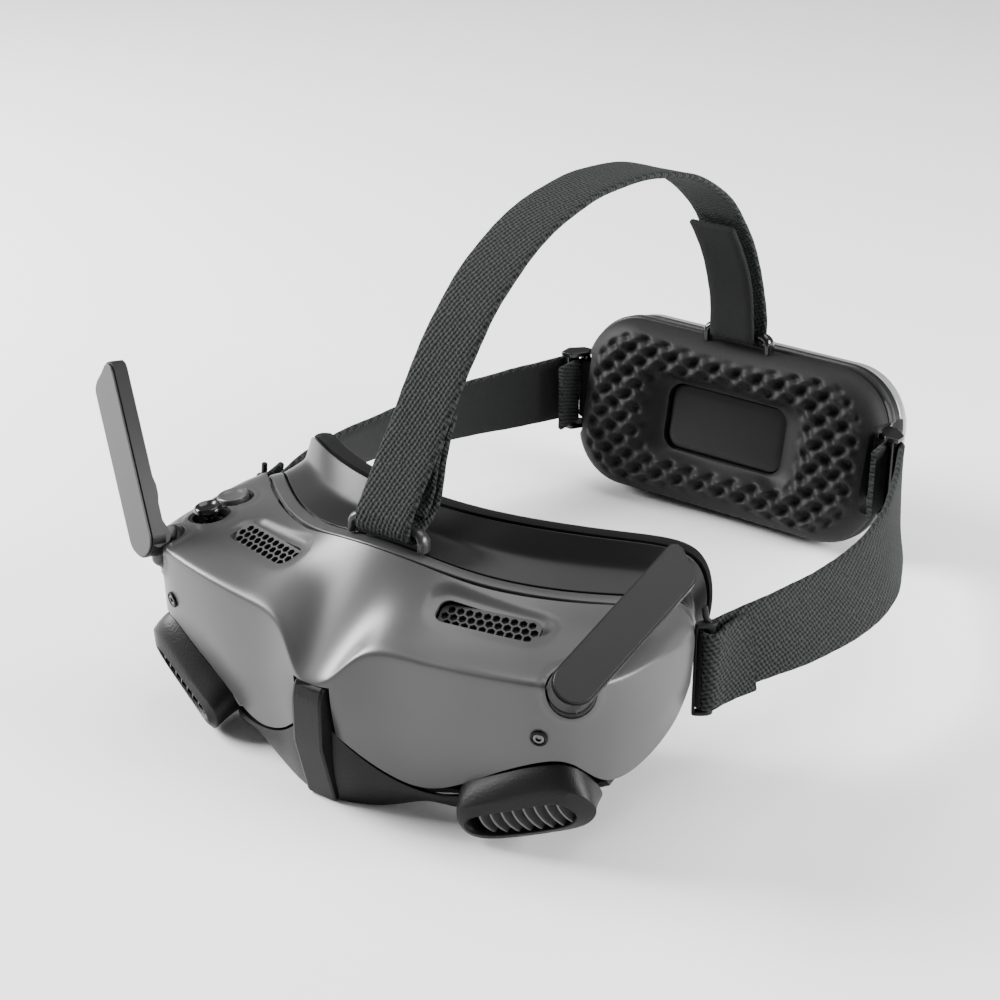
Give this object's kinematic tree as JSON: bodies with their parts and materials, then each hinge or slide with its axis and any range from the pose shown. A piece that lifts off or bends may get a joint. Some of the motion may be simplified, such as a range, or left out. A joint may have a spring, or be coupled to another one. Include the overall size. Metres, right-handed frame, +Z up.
{
  "type": "fpv_goggles",
  "caption": "Video goggles for drone flying with a curved grey front, folding antennas, adjustable eyepieces, a webbing headband and a battery pack with a head pad",
  "frame": {"origin": "centre of the keel's flat foot, on the surface the goggles stand on", "axes": "+X to the wearer's left, +Y back from the front shell to the battery pack, +Z up"},
  "size_m": [0.2139, 0.2704, 0.1552],
  "materials": {
    "shell": "light grey satin plastic",
    "trim": "fine textured dark grey plastic",
    "band": "smooth mid grey plastic",
    "shroud": "soft dark grey moulding",
    "foam": "black foam",
    "steel": "plated steel",
    "cover": "light grey gloss plastic",
    "dark": "black plastic",
    "gloss": "black gloss plastic",
    "web": "woven elastic webbing",
    "board": "circuit board",
    "glass": "coated lens",
    "screen": "display glass",
    "cell": "shrink-wrapped cells"
  },
  "bodies": {
    "headset": {"front_shell": "shell", "lower_trim": "trim", "outlet_pods": "trim", "outlet_louvres": "trim", "intake_grille_left": "trim", "intake_grille_right": "trim", "shell_screws": "steel", "belly_cover": "trim", "rear_frame": "band", "face_shroud": "shroud", "face_foam": "foam", "lens_plate": "dark", "guide_rods": "steel", "main_board": "board", "fan_housing": "dark", "knuckle_left": "trim", "knuckle_right": "trim", "hinge_pins": "steel", "control_housing": "dark", "card_socket": "steel", "top_bracket": "dark", "strap_anchors": "trim", "top_strap": "web", "top_strap_tail": "web", "top_strap_tab": "web", "side_strap_left": "web", "side_strap_right": "web", "side_panel_left": "web", "side_panel_right": "web", "buckles": "dark", "pack_loop": "dark", "pack_frame": "trim", "pack_cover": "cover", "battery_cells": "cell", "pack_board": "board", "head_pad": "foam", "pad_plate": "trim", "power_socket": "steel"},
    "antenna_left": {"antenna_body_left": "trim", "antenna_plate_left": "band"},
    "antenna_right": {"antenna_body_right": "trim", "antenna_plate_right": "trim"},
    "stick_ring": {"joystick_ring": "gloss"},
    "stick": {"joystick_core": "gloss"},
    "stick_cap": {"joystick_cap": "gloss"},
    "back_key": {"back_button": "band"},
    "power_key": {"power_button": "band"},
    "eyepiece_left": {"carriage_left": "dark", "display_left": "screen"},
    "eyepiece_right": {"carriage_right": "dark", "display_right": "screen"},
    "focus_left": {"lens_cell_left": "dark", "lens_left": "glass"},
    "focus_right": {"lens_cell_right": "dark", "lens_right": "glass"},
    "knob_left": {"eye_knob_left": "dark"},
    "knob_right": {"eye_knob_right": "dark"},
    "fan": {"fan_rotor": "dark"}
  },
  "joints": [
    {"name": "antenna_left_fold", "type": "hinge", "parent": "headset", "child": "antenna_left", "pos_m": [-0.0789, 0.012, 0.0582], "axis": [-0.8627, 0.1013, -0.4955], "range_deg": [0, 55]},
    {"name": "antenna_right_fold", "type": "hinge", "parent": "headset", "child": "antenna_right", "pos_m": [0.0789, 0.012, 0.0582], "axis": [0.8627, 0.1013, -0.4955], "range_deg": [0, 55]},
    {"name": "stick_tilt_x", "type": "hinge", "parent": "headset", "child": "stick_ring", "pos_m": [-0.07251, 0.03324, 0.05524], "axis": [0.9925, 0, 0.1219], "range_deg": [-8, 8], "stiffness_Nm_per_rad": 0.02},
    {"name": "stick_tilt_y", "type": "hinge", "parent": "stick_ring", "child": "stick", "pos_m": [-0.07251, 0.03324, 0.05524], "axis": [-0.0074, 0.9981, 0.0606], "range_deg": [-8, 8], "stiffness_Nm_per_rad": 0.02},
    {"name": "stick_press", "type": "slide", "parent": "stick", "child": "stick_cap", "axis": [0.1216, 0.0611, -0.9907], "range_m": [0, 0.0005], "stiffness_N_per_m": 400, "springref_m": -0.0002},
    {"name": "back_press", "type": "slide", "parent": "headset", "child": "back_key", "axis": [0.1216, 0.0611, -0.9907], "range_m": [0, 0.0007], "stiffness_N_per_m": 400, "springref_m": -0.0002},
    {"name": "power_press", "type": "slide", "parent": "headset", "child": "power_key", "axis": [0, -0.9781, 0.2079], "range_m": [0, 0.0007], "stiffness_N_per_m": 400, "springref_m": -0.0002},
    {"name": "eye_left_slide", "type": "slide", "parent": "headset", "child": "eyepiece_left", "axis": [1, 0, 0], "range_m": [-0.004, 0.004]},
    {"name": "eye_right_slide", "type": "slide", "parent": "headset", "child": "eyepiece_right", "axis": [1, 0, 0], "range_m": [-0.004, 0.004]},
    {"name": "focus_knob_left", "type": "hinge", "parent": "eyepiece_left", "child": "knob_left", "pos_m": [-0.032, 0.03, 0.0176], "axis": [0, 0, 1], "range_deg": [-90, 90]},
    {"name": "focus_knob_right", "type": "hinge", "parent": "eyepiece_right", "child": "knob_right", "pos_m": [0.032, 0.03, 0.0176], "axis": [0, 0, 1], "range_deg": [-90, 90]},
    {"name": "focus_left_slide", "type": "slide", "parent": "eyepiece_left", "child": "focus_left", "axis": [0, 1, 0], "range_m": [-0.0025, 0.0025]},
    {"name": "focus_right_slide", "type": "slide", "parent": "eyepiece_right", "child": "focus_right", "axis": [0, 1, 0], "range_m": [-0.0025, 0.0025]},
    {"name": "fan_spin", "type": "hinge", "parent": "headset", "child": "fan", "pos_m": [0, 0.0086, 0.0365], "axis": [0, 1, 0], "continuous": true}
  ],
  "couplings": [
    {"joint": "focus_knob_left", "follows": "focus_left_slide", "rad_per_m": 628},
    {"joint": "focus_knob_right", "follows": "focus_right_slide", "rad_per_m": 628}
  ]
}
